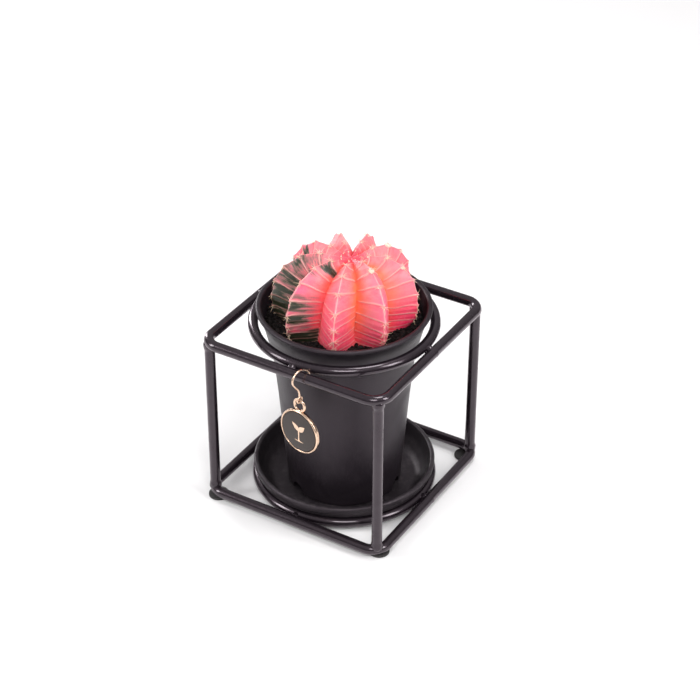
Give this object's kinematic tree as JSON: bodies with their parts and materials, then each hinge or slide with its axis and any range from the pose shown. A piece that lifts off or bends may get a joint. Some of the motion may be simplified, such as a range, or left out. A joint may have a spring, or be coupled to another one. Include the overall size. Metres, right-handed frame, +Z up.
{
  "type": "potted moon cactus",
  "caption": "Ribbed pink cactus in a round plastic pot and saucer, held in a square stand of round rod with a small swinging disc charm on the front bar.",
  "frame": {"origin": "on the ground, under the centre of the bounding box, which is 2.8 mm in front of the pot's axis because the hook stands out in front", "axes": "+Z up, along the pot's axis; +X along the front bar that carries the hook, to the right when facing it; +Y from the front bar towards the back bar"},
  "size_m": [0.1, 0.1056, 0.1297],
  "materials": {
    "frame_black": "satin black powder coat over steel rod",
    "pad_black": "matt black self-adhesive pad",
    "pot_black": "satin moulded polypropylene",
    "saucer_black": "satin moulded polypropylene",
    "potting_soil": "dark granular potting mix",
    "cactus_skin": "waxy skin, coral pink with orange furrows and dark green bands",
    "cactus_wool": "cream wool of the areoles",
    "cactus_spine": "cream spines",
    "charm_gold": "polished, rose gold tone",
    "charm_enamel": "dark grey hard enamel"
  },
  "bodies": {
    "holder": {"frame_loop_top": "frame_black", "frame_loop_low": "frame_black", "frame_ring_top": "frame_black", "frame_ring_low": "frame_black", "frame_post_front_left": "frame_black", "frame_post_front_right": "frame_black", "frame_post_back_right": "frame_black", "frame_post_back_left": "frame_black", "foot_front_left": "pad_black", "foot_front_right": "pad_black", "foot_back_right": "pad_black", "foot_back_left": "pad_black", "saucer": "saucer_black", "pot": "pot_black", "soil": "potting_soil", "cactus": "cactus_skin", "tag_hook": "charm_gold"},
    "charm": {"tag_charm": "charm_gold", "tag_enamel": "charm_enamel"}
  },
  "joints": [
    {"name": "charm_swing", "type": "hinge", "parent": "holder", "child": "charm", "pos_m": [0.00743, -0.04795, 0.0786], "axis": [0.9848, -0.1736, 0], "range_deg": [-90, 35]}
  ]
}
